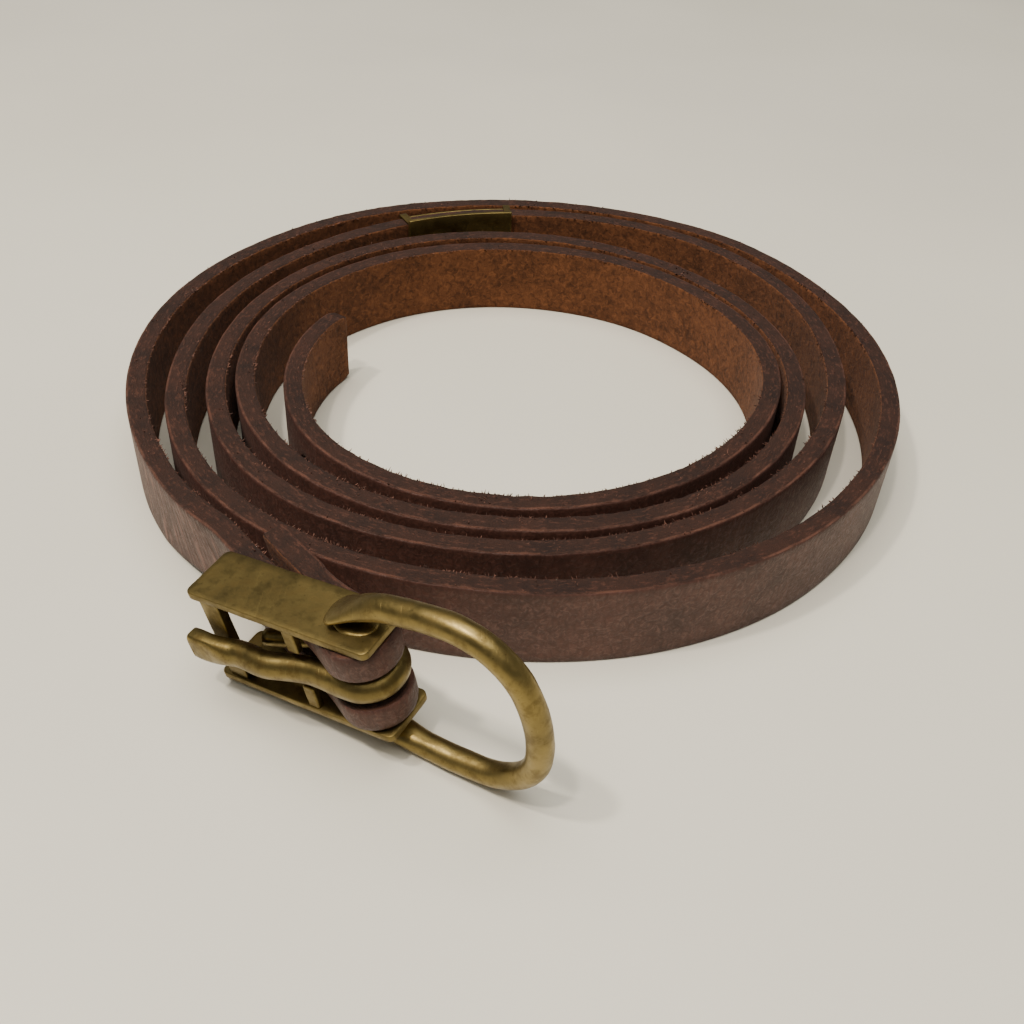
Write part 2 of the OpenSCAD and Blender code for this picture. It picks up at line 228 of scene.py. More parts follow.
def flesh_leather():
    """Vegetable-tanned cowhide, flesh side, left raw: warm tan suede, napped and spotted dark by wear."""
    base = bpy.context.scene.belt_leather.flesh
    mat, tree, shader = new_material("Cowhide_Flesh_Raw", {
        "Roughness": 0.95, "Specular IOR Level": 0.12, "Sheen Weight": 0.05, "Sheen Roughness": 0.6})
    place = add(tree, "Attribute", attribute_name="strap_place")["Vector"]
    cloud = add(tree, "TexNoise", {"Vector": place, "Scale": 130, "Detail": 5, "Roughness": 0.65})[0]
    nap = add(tree, "TexNoise", {"Vector": place, "Scale": 900, "Detail": 6, "Roughness": 0.66,
                                 "Distortion": 0.8})[0]
    speck = add(tree, "TexNoise", {"Vector": place, "Scale": 2300, "Detail": 5, "Roughness": 0.7})[0]
    ground = add(tree, "ValToRGB", {0: cloud}, ((0.30, tone(base, 0.7)), (0.70, tone(base, 1.35))))[0]
    light = add(tree, "MapRange", {0: nap, 1: 0.49, 2: 0.66, 3: 0.0, 4: 0.6},
                interpolation_type="SMOOTHSTEP")[0]
    colour = add(tree, "Mix", {0: light, 6: ground, 7: tone(base, 2.1)}, data_type="RGBA")[2]
    pits = add(tree, "MapRange", {0: nap, 1: 0.48, 2: 0.36, 3: 0.0, 4: 0.6},
               interpolation_type="SMOOTHSTEP")[0]
    colour = add(tree, "Mix", {0: pits, 6: colour, 7: tone(base, 0.28)}, data_type="RGBA")[2]
    dots = add(tree, "MapRange", {0: speck, 1: 0.42, 2: 0.30, 3: 0.0, 4: 0.7},
               interpolation_type="SMOOTHSTEP")[0]
    colour = add(tree, "Mix", {0: dots, 6: colour, 7: tone(base, 0.3)}, data_type="RGBA")[2]
    tree.links.new(colour, shader.inputs["Base Color"])
    bump = add(tree, "Bump", {"Height": nap, "Distance": 0.35 * MM, "Strength": 0.9})[0]
    bump = add(tree, "Bump", {"Height": speck, "Distance": 0.12 * MM, "Strength": 0.7, "Normal": bump})[0]
    tree.links.new(bump, shader.inputs["Normal"])
    return mat


def edge_leather():
    """The knife-cut edge, uncoated: dark and fibrous, with a thin paler, glossier line along the outer arris,
    partly its polish and partly a painted highlight.
    """
    base = bpy.context.scene.belt_leather.edge
    mat, tree, shader = new_material("Cowhide_Cut_Edge", {"Specular IOR Level": 0.4})
    place = add(tree, "Attribute", attribute_name="strap_place")["Vector"]
    axes = add(tree, "SeparateXYZ", {"Vector": place})
    cloud = add(tree, "TexNoise", {"Vector": place, "Scale": 170, "Detail": 5, "Roughness": 0.65})[0]
    laid = add(tree, "Mapping", {"Vector": place, "Scale": (0.45, 1, 1.3)})[0]
    fibre = add(tree, "TexNoise", {"Vector": laid, "Scale": 1900, "Detail": 6, "Roughness": 0.66})[0]
    speck = add(tree, "TexNoise", {"Vector": place, "Scale": 3200, "Detail": 3, "Roughness": 0.7})[0]
    ground = add(tree, "ValToRGB", {0: cloud}, ((0.30, tone(base, 0.55)), (0.72, tone(base, 1.6))))[0]
    light = add(tree, "MapRange", {0: fibre, 1: 0.51, 2: 0.66, 3: 0.0, 4: 0.75},
                interpolation_type="SMOOTHSTEP")[0]
    colour = add(tree, "Mix", {0: light, 6: ground, 7: tone(base, 3.6, 0.1)}, data_type="RGBA")[2]
    pits = add(tree, "MapRange", {0: speck, 1: 0.47, 2: 0.32, 3: 0.0, 4: 0.85},
               interpolation_type="SMOOTHSTEP")[0]
    colour = add(tree, "Mix", {0: pits, 6: colour, 7: tone(base, 0.3)}, data_type="RGBA")[2]
    # Along the outer arris a thin line is painted paler and made glossier: partly the arris's polish, partly
    # a painted highlight where the rounded arris catches the light.
    rim = add(tree, "MapRange", {0: axes[2], 1: 0.0006, 2: 0.0003, 3: 0.0, 4: 1.0},
              interpolation_type="SMOOTHSTEP")[0]
    broken = add(tree, "MapRange", {0: cloud, 1: 0.42, 2: 0.6, 3: 0.1, 4: 0.9})[0]
    arris = add(tree, "Math", {0: rim, 1: broken}, operation="MULTIPLY")[0]
    colour = add(tree, "Mix", {0: arris, 6: colour, 7: tone(base, 5.0, 0.15)}, data_type="RGBA")[2]
    tree.links.new(colour, shader.inputs["Base Color"])
    tree.links.new(add(tree, "MapRange", {0: arris, 1: 0.0, 2: 1.0, 3: 0.72, 4: 0.42})[0],
                   shader.inputs["Roughness"])
    bump = add(tree, "Bump", {"Height": fibre, "Distance": 0.6 * MM, "Strength": 1.0})[0]
    bump = add(tree, "Bump", {"Height": speck, "Distance": 0.12 * MM, "Strength": 0.6, "Normal": bump})[0]
    tree.links.new(bump, shader.inputs["Normal"])
    return mat


def fibre_leather():
    """Loose collagen fibres that stand from the raw cut edge, paler than the dyed edge they come from."""
    base = bpy.context.scene.belt_leather.edge
    mat, tree, shader = new_material("Cowhide_Loose_Fibre", {"Roughness": 0.8})
    where = add(tree, "TexCoord")["Object"]
    kind = add(tree, "TexNoise", {"Vector": where, "Scale": 700, "Detail": 2})[0]
    colour = add(tree, "ValToRGB", {0: kind}, ((0.38, tone(base, 1.3)), (0.62, tone(base, 7.0, 0.25))))[0]
    tree.links.new(colour, shader.inputs["Base Color"])
    return mat


def brass(name, level, patch, rough, dents):
    """Brass, hand-finished and aged: satin and olive, with brown patches, pits and fine scratches."""
    metal = bpy.context.scene.belt_brass
    base = tone(metal.colour, level)
    mat, tree, shader = new_material(name, {"Metallic": 1.0})
    where = add(tree, "TexCoord")["Object"]
    cloud = add(tree, "TexNoise", {"Vector": where, "Scale": 120, "Detail": 6, "Roughness": 0.62})[0]
    stain = add(tree, "TexNoise", {"Vector": where, "Scale": 430, "Detail": 7, "Roughness": 0.68})[0]
    dent = add(tree, "TexNoise", {"Vector": where, "Scale": 380, "Detail": 2, "Roughness": 0.5})[0]
    fine = add(tree, "TexNoise", {"Vector": where, "Scale": 3000, "Detail": 4, "Roughness": 0.6})[0]
    # Hairline scratches about 0.1 mm wide and some millimetres long, in two directions.
    way_one = add(tree, "Mapping", {"Vector": where, "Rotation": (0, 0, 0.5), "Scale": (1, 0.05, 0.2)})[0]
    way_two = add(tree, "Mapping", {"Vector": where, "Rotation": (0, 0, 1.4), "Scale": (1, 0.06, 0.15)})[0]
    one = add(tree, "TexNoise", {"Vector": way_one, "Scale": 3600, "Detail": 2})[0]
    two = add(tree, "TexNoise", {"Vector": way_two, "Scale": 3100, "Detail": 2})[0]
    most = add(tree, "Math", {0: one, 1: two}, operation="MAXIMUM")[0]
    scratch = add(tree, "MapRange", {0: most, 1: 0.66, 2: 0.74}, interpolation_type="SMOOTHSTEP")[0]
    pit = add(tree, "TexVoronoi", {"Vector": where, "Scale": 900}, feature="F1")[0]
    pits = add(tree, "MapRange", {0: pit, 1: 0.13, 2: 0.05}, interpolation_type="SMOOTHSTEP")[0]
    ground = add(tree, "ValToRGB", {0: cloud}, ((0.30, tone(base, 0.72, 0.05)), (0.74, tone(base, 1.25)),
                                                (0.52, base)))[0]
    aged = add(tree, "MapRange", {0: stain, 1: 0.47, 2: 0.64, 3: 0.0, 4: patch * metal.age},
               interpolation_type="SMOOTHSTEP")[0]
    colour = add(tree, "Mix", {0: aged, 6: ground, 7: linear("#4C3B1D")}, data_type="RGBA")[2]
    dirt = add(tree, "Math", {0: pits, 1: 0.4}, operation="MULTIPLY")[0]
    colour = add(tree, "Mix", {0: dirt, 6: colour, 7: linear("#33270F")}, data_type="RGBA")[2]
    rubbed = add(tree, "Math", {0: scratch, 1: 0.14}, operation="MULTIPLY")[0]
    colour = add(tree, "Mix", {0: rubbed, 6: colour, 7: tone(base, 1.9)}, data_type="RGBA")[2]
    edge = add(tree, "NewGeometry")["Pointiness"]
    crest = add(tree, "MapRange", {0: edge, 1: 0.53, 2: 0.60, 3: 0.0, 4: 0.6},
                interpolation_type="SMOOTHSTEP")[0]
    colour = add(tree, "Mix", {0: crest, 6: colour, 7: tone(base, 1.9)}, data_type="RGBA")[2]
    nook = add(tree, "MapRange", {0: edge, 1: 0.47, 2: 0.40, 3: 0.0, 4: 0.8},
               interpolation_type="SMOOTHSTEP")[0]
    colour = add(tree, "Mix", {0: nook, 6: colour, 7: linear("#33270F")}, data_type="RGBA")[2]
    tree.links.new(colour, shader.inputs["Base Color"])
    matt = add(tree, "MapRange", {0: stain, 1: 0.38, 2: 0.64, 3: rough, 4: rough + 0.18})[0]
    tree.links.new(matt, shader.inputs["Roughness"])
    bump = add(tree, "Bump", {"Height": dent, "Distance": dents * MM, "Strength": 0.35})[0]
    bump = add(tree, "Bump", {"Height": pits, "Distance": 0.03 * MM, "Strength": 0.25, "Normal": bump},
               invert=True)[0]
    bump = add(tree, "Bump", {"Height": fine, "Distance": 0.02 * MM, "Strength": 0.5, "Normal": bump})[0]
    bump = add(tree, "Bump", {"Height": scratch, "Distance": 0.02 * MM, "Strength": 0.4, "Normal": bump},
               invert=True)[0]
    tree.links.new(bump, shader.inputs["Normal"])
    return mat


def table_top():
    """A sprayed pale laminate table top with a soft gloss, which clouds and mirrors a little."""
    mat, tree, shader = new_material("Laminate_Pale_Satin", {"Specular IOR Level": 0.5})
    where = add(tree, "TexCoord")["Object"]
    cloud = add(tree, "TexNoise", {"Vector": where, "Scale": 9, "Detail": 3})[0]
    colour = add(tree, "ValToRGB", {0: cloud}, ((0.3, linear("#E1DECF")), (0.7, linear("#E7E4D5"))))[0]
    tree.links.new(colour, shader.inputs["Base Color"])
    tree.links.new(add(tree, "MapRange", {0: cloud, 1: 0.3, 2: 0.7, 3: 0.27, 4: 0.34})[0],
                   shader.inputs["Roughness"])
    return mat


MATERIALS = {}


def material(name):
    """Makes each material once, when a piece first asks for it."""
    makers = {
        "grain": grain_leather, "flesh": flesh_leather, "edge": edge_leather, "fibre": fibre_leather,
        "plate": lambda: brass("Brass_Plate_Filed", 0.64, 0.30, 0.38, 0.10),
        "rod": lambda: brass("Brass_Rod_Drawn", 0.85, 0.36, 0.33, 0.12),
        "tongue": lambda: brass("Brass_Tongue_Worn", 0.64, 0.5, 0.32, 0.12),
        "keeper": lambda: brass("Brass_Sheet_Rolled", 0.78, 0.4, 0.34, 0.08),
        "table": table_top,
    }
    if name not in MATERIALS:
        MATERIALS[name] = makers[name]()
    return MATERIALS[name]


# ---- mesh helpers ----


def finish_piece(bm, name, mats, body, nodes=(), smooth=True, place=None):
    """Turns a bmesh in millimetres into a piece in metres at the origin, on its body."""
    if place is not None:
        bmesh.ops.transform(bm, matrix=place, verts=bm.verts)
    bmesh.ops.scale(bm, vec=(MM, MM, MM), verts=bm.verts)
    bmesh.ops.recalc_face_normals(bm, faces=bm.faces)
    for f in bm.faces:
        f.smooth = smooth
    mesh = bpy.data.meshes.new(name)
    bm.to_mesh(mesh)
    bm.free()
    for m in mats:
        mesh.materials.append(material(m))
    obj = bpy.data.objects.new(name, mesh)
    bpy.context.scene.collection.objects.link(obj)
    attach(obj, body)
    if nodes:
        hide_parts(*nodes)
    return obj


def bevel(bm, edges, size, segments=2):
    bmesh.ops.bevel(bm, geom=edges, offset=size, offset_type="OFFSET", affect="EDGES", segments=segments,
                    profile=0.5, material=-1, clamp_overlap=True)


def roughen(bm, amount, scale, seed=0.0):
    """Moves each vertex along its normal by smooth noise, so that nothing looks machined."""
    bm.normal_update()
    off = Vector((seed, seed, seed))
    moves = [(v, v.normal * amount * noise.noise(v.co * scale + off)) for v in bm.verts]
    for v, m in moves:
        v.co += m


def block(size, corner, edge, cuts=6):
    """A filed bar or plate: rounded upright corners, soft arrises, and enough faces to carry dents."""
    bm = bmesh.new()
    bmesh.ops.create_cube(bm, size=1.0)
    bmesh.ops.translate(bm, vec=(0.5, 0.5, 0.5), verts=bm.verts)
    bmesh.ops.scale(bm, vec=size, verts=bm.verts)
    upright = [e for e in bm.edges if abs(e.verts[0].co.z - e.verts[1].co.z) > 1e-4]
    if corner:
        bevel(bm, upright, corner, 5)
    rim = [e for e in bm.edges if e.is_manifold and e.calc_face_angle(0) > 0.9]
    bevel(bm, rim, edge, 2)
    step = max(size) / cuts
    for axis in range(3):
        normal = Vector([1.0 if i == axis else 0.0 for i in range(3)])
        for i in range(1, int(size[axis] / step)):
            bmesh.ops.bisect_plane(bm, geom=bm.verts[:] + bm.edges[:] + bm.faces[:],
                                   plane_co=normal * step * i, plane_no=normal)
    return bm


def rod_along(path, radius, flat, shape, sides=28):
    """A rod along a path in one plane, whose normal is flat: a ring extruded from point to point."""
    bm = bmesh.new()
    ring = bmesh.ops.create_circle(bm, cap_ends=True, segments=sides, radius=1.0)["verts"]
    round_of = {v: v.co.copy() for v in ring}
    end = bm.faces[:]
    n = len(path)
    for i in range(n):
        if i:
            out = bmesh.ops.extrude_face_region(bm, geom=end)["geom"]
            fresh = [g for g in out if isinstance(g, bmesh.types.BMVert)]
            if i > 1:
                bmesh.ops.delete(bm, geom=end, context="FACES_ONLY")
            end = [g for g in out if isinstance(g, bmesh.types.BMFace)]
            # A fresh vertex lies on the one it came from, so it takes that one's place on the round.
            was = {tuple(round(c, 6) for c in v.co): s for v, s in round_of.items()}
            round_of = {v: was[tuple(round(c, 6) for c in v.co)] for v in fresh}
        along = (path[min(i + 1, n - 1)] - path[max(i - 1, 0)]).normalized()
        up = flat.cross(along).normalized()
        wide, high, square = shape(i)
        for v, s in round_of.items():
            x, y = (math.copysign(abs(c) ** (1 - 0.62 * square), c) for c in s.xy)
            v.co = path[i] + (flat * x * wide + up * y * high) * radius
    return bm


# ---- the strap ----


def strap_line():
    """The grain face's lower edge from the folded end to the tail: points and width directions."""
    spots, ups = [], []
    up = BUCKLE_R @ Vector((0, 0, 1))
    lie = math.radians(LEAD_A)

    def in_buckle(x, q):
        u = PIN_U + x * math.cos(lie) + q * math.sin(lie)
        v = PIN_V - x * math.sin(lie) + q * math.cos(lie)
        spots.append(BUCKLE @ Vector((u, v, PLATE_T + 0.3)))
        ups.append(up)

    far_q = FOLD_Q + STRAP_T
    for x, q in ((-FOLD_LEN, far_q), (-22, far_q - 0.1), (-16, far_q - 0.1), (-11, far_q), (-7, far_q + 0.5)):
        in_buckle(x, q)
    for a in range(110, -106, -12):
        in_buckle(WRAP_R * math.cos(math.radians(a)), WRAP_R * math.sin(math.radians(a)))
    for x in (-4.5, -9, -14, -19, -24, -29):
        in_buckle(x, LEAD_Q - 0.15 * max(0, 1 + x / 9))
    lead = Vector((PIN_U - LEAD_REACH * math.cos(lie) + LEAD_Q * math.sin(lie),
                   PIN_V + LEAD_REACH * math.sin(lie) + LEAD_Q * math.cos(lie), MID_H))
    rise = (BUCKLE @ lead).z - STRAP_W / 2
    for i in range(0, 7):
        g = 1 - i / 7
        ease = g * g * (3 - 2 * g)
        p = face_p(START_TURN + 0.055 * (1 - g)) + SHIFT
        width = Euler((LEAN * ease, -TILT * ease, BUCKLE_AZ)).to_matrix() @ Vector((0, 0, 1))
        middle = Vector((p.x, p.y, STRAP_W / 2 + rise * ease))
        spots.append(middle - width * STRAP_W / 2)
        ups.append(width)
    t = START_TURN + 0.062
    while t < TAIL_TURN - 0.004:
        p = face_p(t) + SHIFT
        spots.append(Vector((p.x, p.y, 0)))
        ups.append(Vector((0, 0, 1)))
        t += 1 / 80
    p = face_p(TAIL_TURN) + SHIFT
    spots.append(Vector((p.x, p.y, 0)))
    ups.append(Vector((0, 0, 1)))
    return spots, ups


def smooth_line(spots, ups, step):
    """Evenly spaced (point, along, through, up) frames on a smooth curve through the spots."""
    fine, lift = [], []
    n = len(spots)
    for i in range(n - 1):
        a, b = spots[max(i - 1, 0)], spots[i]
        c, d = spots[i + 1], spots[min(i + 2, n - 1)]
        for k in range(8):
            u = k / 8
            fine.append(b + u * (c - a) / 2 + u * u * (a - 2.5 * b + 2 * c - d / 2)
                        + u ** 3 * (-a / 2 + 1.5 * b - 1.5 * c + d / 2))
            lift.append(ups[i].lerp(ups[i + 1], u).normalized())
    fine.append(spots[-1])
    lift.append(ups[-1])
    total = [0.0]
    for a, b in zip(fine, fine[1:]):
        total.append(total[-1] + (b - a).length)
    count = int(total[-1] / step)
    out, j = [], 0
    for i in range(count + 1):
        s = total[-1] * i / count
        while j < len(total) - 2 and total[j + 1] < s:
            j += 1
        w = (s - total[j]) / (total[j + 1] - total[j])
        out.append((fine[j].lerp(fine[j + 1], w), lift[j].lerp(lift[j + 1], w).normalized()))
    frames = []
    for i, (p, up) in enumerate(out):
        along = (out[min(i + 1, count)][0] - out[max(i - 1, 0)][0]).normalized()
        along = (along - up * along.dot(up)).normalized()
        frames.append((p, along, along.cross(up).normalized(), up))
    return frames, total[-1]


def frame_at(frames, length, s):
    x = min(max(s / length, 0), 1) * (len(frames) - 1)
    i = min(int(x), len(frames) - 2)
    w = x - i
    return [a.lerp(b, w) for a, b in zip(frames[i], frames[i + 1])]


def length_where(frames, length, test):
    """The first length along the strap at which a test of the frame's point holds."""
    for i, f in enumerate(frames):
        if test(i, f[0]):
            return length * i / (len(frames) - 1)
    raise RuntimeError("the strap's line never passes the place asked for")


LINE, LENGTH = smooth_line(*strap_line(), 1.0)


def slot_span():
    """Where the tongue's slot starts on the folded layer and ends on the lead, along the strap."""
    lie = math.radians(LEAD_A)
    back = BUCKLE.inverted()

    def along_lead(p):
        q = back @ p
        return (q.x - PIN_U) * math.cos(lie) - (q.y - PIN_V) * math.sin(lie)

    first = length_where(LINE, LENGTH, lambda i, p: along_lead(p) > -SLOT_BACK)
    last = length_where(LINE, LENGTH, lambda i, p: i > 40 and along_lead(p) < -SLOT_LEN)
    return first, last


def flat_strap():
    """The strap laid flat: a grid with the slot and the tail holes let in, then given its thickness."""
    bm = bmesh.new()
    cells_x, cells_y = int(LENGTH / 1.15), 12
    bmesh.ops.create_grid(bm, x_segments=cells_x, y_segments=cells_y, size=0.5)
    bmesh.ops.translate(bm, vec=(0.5, 0.5, 0), verts=bm.verts)
    bmesh.ops.scale(bm, vec=(LENGTH, STRAP_W, 1), verts=bm.verts)
    step, mid = LENGTH / cells_x, STRAP_W / 2
    a, b = slot_span()
    a, b = round(a / step) * step, round(b / step) * step
    # Draw the two long grid lines beside the slot onto its sides, with a soft start.
    for v in bm.verts:
        near = min(max((v.co.x - a + 8) / 6, 0), 1) * min(max((b + 8 - v.co.x) / 6, 0), 1)
        if abs(abs(v.co.y - mid) - 2.5) < 0.1:
            v.co.y += math.copysign(SLOT_H / 2 - 2.5, v.co.y - mid) * near
    gone = []
    for f in bm.faces:
        c = f.calc_center_median()
        if a < c.x < b and abs(c.y - mid) < SLOT_H / 2:
            gone.append(f)
    holes = [LENGTH - HOLE_FIRST - i * HOLE_STEP for i in range(5)]
    for at in holes:
        at = round(at / step) * step
        for f in bm.faces:
            c = f.calc_center_median()
            if abs(c.x - at) < 2 * step and abs(c.y - mid) < 2.5:
                gone.append(f)
    bmesh.ops.delete(bm, geom=list(set(gone)), context="FACES")
    for at in holes:
        at = round(at / step) * step
        for v in bm.verts:
            d = Vector((v.co.x - at, v.co.y - mid))
            if v.is_boundary and 0.1 < d.length < 4 and 0.1 < v.co.y < STRAP_W - 0.1:
                d = d.normalized() * HOLE_R
                v.co.x, v.co.y = at + d.x, mid + d.y
    # Round the slot's ends and the corners of the tail.
    for v in bm.verts:
        if v.is_boundary and abs(v.co.y - mid) < SLOT_H / 2 + 0.01:
            bulge = SLOT_H / 2 - math.sqrt(max((SLOT_H / 2) ** 2 - (v.co.y - mid) ** 2, 0))
            if abs(v.co.x - a) < 0.01:
                v.co.x += min(bulge, 1.2)
            elif abs(v.co.x - b) < 0.01:
                v.co.x -= min(bulge, 1.2)
        past = 3.0 - (LENGTH - v.co.x)
        edge = abs(v.co.y - mid)
        if past > 0:
            v.co.y = mid + (v.co.y - mid) * (1 - 0.10 * (past / 3.0) ** 2 * (edge / mid))
    bm.normal_update()
    bmesh.ops.solidify(bm, geom=bm.faces[:], thickness=STRAP_T)
    low = min(v.co.z for v in bm.verts)
    bmesh.ops.translate(bm, vec=(0, 0, -low), verts=bm.verts)
    rim = [e for e in bm.edges if e.is_manifold and e.calc_face_angle(0) > 1.2]
    bevel(bm, rim, 0.42, 2)
    for z in (1.1, 1.8, 2.5):
        walls = [f for f in bm.faces if abs(f.normal.z) < 0.5]
        edges = list({e for f in walls for e in f.edges})
        verts = list({v for f in walls for v in f.verts})
        bmesh.ops.bisect_plane(bm, geom=walls + edges + verts, plane_co=(0, 0, z), plane_no=(0, 0, 1))
    return bm, (a, b)


def make_strap():
    bm, (a, b) = flat_strap()
    bm.normal_update()
    layer = bm.verts.layers.float_vector.new("strap_place")
    wander = bpy.context.scene.belt_leather.wander / MM
    for f in bm.faces:
        if f.normal.z < -0.6:
            f.material_index = 0
        elif f.normal.z > 0.6:
            f.material_index = 1
        else:
            f.material_index = 2
    for v in bm.verts:
        s, w, d = v.co
        v[layer] = (s * MM, w * MM, d * MM)
        p, along, through, up = frame_at(LINE, LENGTH, s)
        # Hand-cut: the width and the thickness wander a little, and the cut faces are fibrous.
        high = w / STRAP_W
        w += high * wander * noise.noise(Vector((s * 0.03, 0, 7.1))) + high * 0.10 * noise.noise(
            Vector((s * 0.35, d * 0.4, 1.3)))
        if w > STRAP_W - 0.5 and d > 0.3:
            w += 0.13 * noise.noise(Vector((s * 1.3, d * 1.7, 4.4)))
            w += 0.07 * noise.noise(Vector((s * 0.8, 3.0, 0)))
        d += 0.12 * (d / STRAP_T - 0.5) * noise.noise(Vector((s * 0.05, w * 0.1, 2.7)))
        if a - 1 < s < b - 6:
            # The two lobes of the fold are drawn down round their edges.
            e = min(w, abs(w - STRAP_W / 2 + SLOT_H / 2), abs(w - STRAP_W / 2 - SLOT_H / 2), STRAP_W - w)
            if d < 1.5:
                d += 0.45 * max(0.0, 1 - e / 1.6) ** 2
        v.co = p + through * d + up * w
    return finish_piece(bm, "leather_strap", ("grain", "flesh", "edge"), "strap", ("strap",))


def make_fibres():
    """Tufts of loose fibre along the strap's two upper arrises, where the knife has left the edge raw."""
    bm = bmesh.new()
    rng = random.Random(11)
    wanted = bpy.context.scene.belt_leather.fibres
    for i in range(wanted):
        s = rng.uniform(40, LENGTH - 3)
        clump = noise.noise(Vector((s * 0.11, 0, 3.3))) + 0.6 * noise.noise(Vector((s * 0.7, 0, 8.1)))
        inner = rng.random() < 0.72
        lean, slant, size, keep, thick = (rng.random() for _ in range(5))
        if keep > 0.45 + 0.9 * clump:
            continue
        d = STRAP_T - 0.05 - 0.55 * rng.random() ** 2 if inner else 0.2 + rng.random() * (STRAP_T - 0.5)
        p, along, through, up = frame_at(LINE, LENGTH, s)
        root = p + through * d + up * (STRAP_W - 0.12 - 0.3 * rng.random() * inner)
        aside = 0.9 * inner + (slant - 0.4) * 0.8
        aim = up * (0.25 + 0.8 * lean) + through * aside + along * rng.uniform(-0.9, 0.9)
        aim.normalize()
        long = 0.20 + 0.55 * size ** 2
        turn = aim.to_track_quat("Z", "Y").to_matrix().to_4x4()
        bmesh.ops.create_cone(bm, cap_ends=True, segments=3, radius1=0.08 + 0.11 * thick, radius2=0.03,
                              depth=long, matrix=Matrix.Translation(root + aim * long / 2) @ turn)
    return finish_piece(bm, "edge_fibres", ("fibre",), "strap", ())


# ---- the buckle ----


def make_plates():
    for name, node, h, seed in (("top_side_plate", "top_plate", FRAME_H - PLATE_T, 3.1),
                                ("bottom_side_plate", "bottom_plate", 0.0, 8.4)):
        bm = block((PLATE_L, PLATE_W, PLATE_T), 1.1, 0.16, 40)
        bm.normal_update()
        for v in bm.verts:
            v.co += v.normal * 0.06 * noise.noise(v.co * 0.22 + Vector((seed, 0, 0)))
            v.co += v.normal * 0.025 * noise.noise(v.co * 0.9 + Vector((seed, 3, 0)))
        finish_piece(bm, name, ("plate",), "buckle", (node,), place=BUCKLE @ Matrix.Translation((0, 0, h)))


def make_bars():
    bm = block((BAR_W, BAR_T, FRAME_H - 2 * PLATE_T + 0.1), 0.25, 0.1, 14)
    roughen(bm, 0.05, 0.5, 2.0)
    finish_piece(bm, "end_bar_strip", ("plate",), "buckle", ("end_bar",),
                 place=BUCKLE @ Matrix.Translation((BAR_INSET, 0.4, PLATE_T - 0.05)))
    u = PIN_U - WRAP_R - 3.2 - STUB_W / 2
    for name, node, h in (("upper_stub_lug", "upper_stub", FRAME_H - PLATE_T - STUB_H),
                          ("lower_stub_lug", "lower_stub", PLATE_T - 0.05)):
        bm = block((STUB_W, 1.2, STUB_H + 0.05), 0.3, 0.25, 12)
        roughen(bm, 0.06, 0.8, 5.0)
        finish_piece(bm, name, ("plate",), "buckle", (node,), place=BUCKLE @ Matrix.Translation((u, 0.2, h)))
    bm = bmesh.new()
    bmesh.ops.create_cone(bm, cap_ends=True, segments=48, radius1=PIN_R, radius2=PIN_R, depth=FRAME_H - 0.3)
    bevel(bm, [e for e in bm.edges if e.calc_face_angle(0) > 1.0], 0.2, 2)
    finish_piece(bm, "hinge_pin", ("rod",), "buckle", ("pin",),
                 place=BUCKLE @ Matrix.Translation((PIN_U, PIN_V, MID_H)))


def arc_points(cx, cy, radius, start, end, count):
    turns = [math.radians(start + (end - start) * i / count) for i in range(count + 1)]
    return [(cx + radius * math.cos(a), cy + radius * math.sin(a)) for a in turns]


def bow_path():
    """The bow's centre line in the buckle's frame, from the upper soldered end to the lower one."""
    reach, rise, corner, side = BOW_REACH, BOW_RISE, BOW_CORNER, BOW_SIDE
    end_u = PIN_U - 3.8
    half = FRAME_H + ROD_R + 0.05 + rise - MID_H
    side_b = math.degrees(math.asin((half - corner) / (side - corner)))
    peak_u = PIN_U + reach - side + (side - corner) * math.cos(math.radians(side_b))
    flat_a = 2 * math.degrees(math.atan(rise / (peak_u - end_u)))
    flat = (peak_u - end_u) / math.sin(math.radians(flat_a))
    up = arc_points(peak_u, half - flat, flat, 90 + flat_a, 90, 26)
    up += arc_points(peak_u, half - corner, corner, 90, side_b, 22)[1:]
    up += arc_points(PIN_U + reach - side, 0, side, side_b, 0, 8)[1:]
    down = [(x, -y) for x, y in reversed(up[:-1])]
    return [Vector((x, PIN_V, MID_H + y)) for x, y in up + down]


def make_bow():
    path = bow_path()
    lengths = [0.0]
    for a, b in zip(path, path[1:]):
        lengths.append(lengths[-1] + (b - a).length)
    total = lengths[-1]

    def flattened(i):
        """How far the rod is hammered flat: fully at its two soldered ends, not at all from 11 mm on."""
        x = max(0.0, 1 - min(lengths[i], total - lengths[i]) / 11.0)
        return x * x * (3 - 2 * x)

    def shape(i):
        s = min(lengths[i], total - lengths[i])
        foot = flattened(i)
        cap = math.sqrt(max(0.02, 1 - max(0.0, 1 - s / 1.9) ** 2))
        wobble = 0.03 * noise.noise(Vector((lengths[i] * 0.25, 0, 0)))
        return cap * (1 + 0.55 * foot + wobble), (1 - 0.60 * foot - wobble) * (0.35 + 0.65 * cap), 0.0

    for i, p in enumerate(path):
        p.z -= math.copysign(ROD_R * 0.66 * flattened(i), p.z - MID_H)
    bm = rod_along(path, ROD_R, Vector((0, 1, 0)), shape)
    roughen(bm, 0.06, 0.30, 1.0)
    roughen(bm, 0.02, 1.6, 6.0)
    # A thin run of solder fills the corner between each flattened end and its plate.
    for sign in (1, -1):
        part = bmesh.new()
        bmesh.ops.create_uvsphere(part, u_segments=28, v_segments=14, radius=1.0)
        bmesh.ops.scale(part, vec=(3.6, 2.5, 0.45), verts=part.verts)
        bmesh.ops.translate(part, vec=(PIN_U + 0.2, PIN_V, MID_H + sign * MID_H), verts=part.verts)
        roughen(part, 0.15, 0.7, 9.0)
        mesh = bpy.data.meshes.new("solder")
        part.to_mesh(mesh)
        part.free()
        bm.from_mesh(mesh)
        bpy.data.meshes.remove(mesh)
    finish_piece(bm, "bow_rod", ("rod",), "buckle", ("bow",), place=BUCKLE)


